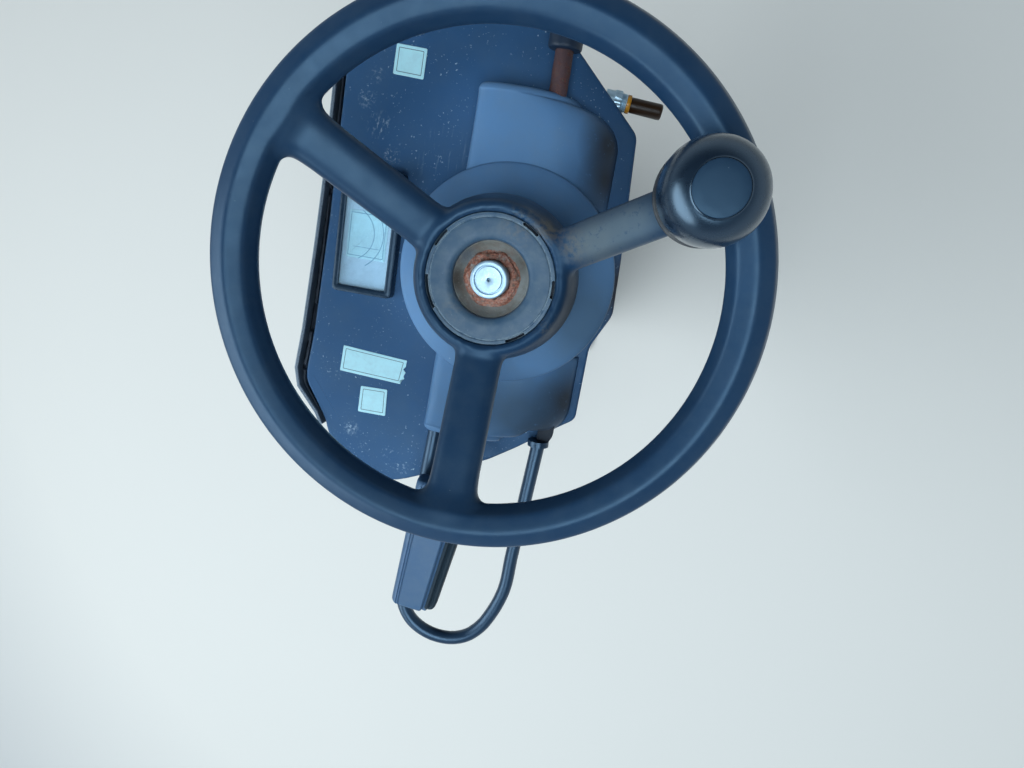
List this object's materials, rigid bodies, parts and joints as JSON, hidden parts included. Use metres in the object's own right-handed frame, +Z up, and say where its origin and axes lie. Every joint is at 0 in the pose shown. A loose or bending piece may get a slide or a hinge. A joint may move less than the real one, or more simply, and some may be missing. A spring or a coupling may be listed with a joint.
{
  "type": "site dumper steering console",
  "caption": "Steering wheel with spinner knob on a tilted column, over a dash with instrument, shroud, direction lever, guard hoop and tip lever, on a bolted steel pedestal.",
  "frame": {"origin": "centre of the four base bolt holes, on the underside of the base plate", "axes": "+X to the machine's front, away from the operator; +Y to the operator's left; +Z up"},
  "size_m": [0.4214, 0.6401, 0.6883],
  "materials": {
    "pedestal_paint": "satin black paint, dusty",
    "dash_paint": "satin blue-black paint with dust specks and worn edges",
    "trim_rubber": "matt",
    "skirt_steel": "worn dark paint over grey steel",
    "unit_iron": "black paint",
    "column_steel": "oiled",
    "shroud_plastic": "fine grained grey moulding",
    "zinc_steel": "bright zinc",
    "rusty_steel": "rust over worn paint",
    "wheel_skin": "soft satin skin",
    "insert_plastic": "satin moulding",
    "knob_metal": "satin black",
    "knob_plastic": "gloss with fine scuffs",
    "bezel_plastic": "semi gloss",
    "panel_plastic": "pale green grey",
    "instrument_glass": "clear, dusty",
    "bar_paint": "gloss black paint",
    "grip_plastic": "satin moulding",
    "amber_plastic": "translucent amber",
    "handle_plastic": "dark brown"
  },
  "bodies": {
    "console": {"base_plate": "pedestal_paint", "pedestal": "pedestal_paint", "service_cover": "pedestal_paint", "gusset_left": "pedestal_paint", "gusset_right": "pedestal_paint", "gusset_front": "pedestal_paint", "dash_plate": "dash_paint", "dash_trim": "trim_rubber", "front_skirt": "skirt_steel", "skirt_bracket": "pedestal_paint", "steering_unit": "unit_iron", "column_flange": "unit_iron", "column_tube": "column_steel", "shroud_right": "shroud_plastic", "shroud_left": "shroud_plastic", "shroud_collar": "shroud_plastic", "instrument_case": "bezel_plastic", "instrument_face": "panel_plastic", "instrument_glass": "instrument_glass", "guard_hoop": "bar_paint", "hoop_clip": "bar_paint", "hoop_tab": "bar_paint", "tip_pin": "zinc_steel", "stop_base": "zinc_steel", "stop_band": "amber_plastic", "stop_handle": "handle_plastic", "key_switch": "zinc_steel", "key_blade": "zinc_steel", "power_socket": "grip_plastic"},
    "wheel": {"steering_shaft": "zinc_steel", "hub_washer": "rusty_steel", "hub_nut": "rusty_steel", "hub_boss": "unit_iron", "wheel_moulding": "wheel_skin", "hub_insert": "insert_plastic", "knob_base": "knob_metal", "knob_pin": "zinc_steel"},
    "spinner": {"knob_body": "knob_plastic", "knob_cap": "knob_plastic"},
    "direction_lever": {"lever_ring": "column_steel", "lever_rod": "bar_paint", "lever_grip": "grip_plastic"},
    "tip_lever": {"tip_boss": "rusty_steel", "tip_bar": "rusty_steel", "tip_grip": "grip_plastic"}
  },
  "joints": [
    {"name": "steering", "type": "hinge", "parent": "console", "child": "wheel", "pos_m": [-0.145, 0, 0.64], "axis": [-0.2079, 0, 0.9781], "continuous": true},
    {"name": "knob_spin", "type": "hinge", "parent": "wheel", "child": "spinner", "pos_m": [-0.26562, -0.06825, 0.6389], "axis": [-0.2079, 0, 0.9781], "continuous": true},
    {"name": "direction_swing", "type": "hinge", "parent": "console", "child": "direction_lever", "pos_m": [-0.11631, 0, 0.50502], "axis": [-0.2079, 0, 0.9781], "range_deg": [-4.2, 17.8]},
    {"name": "tip_swing", "type": "hinge", "parent": "console", "child": "tip_lever", "pos_m": [-0.13196, -0.105, 0.50169], "axis": [-0.2079, 0, 0.9781], "range_deg": [-10, 10]}
  ]
}
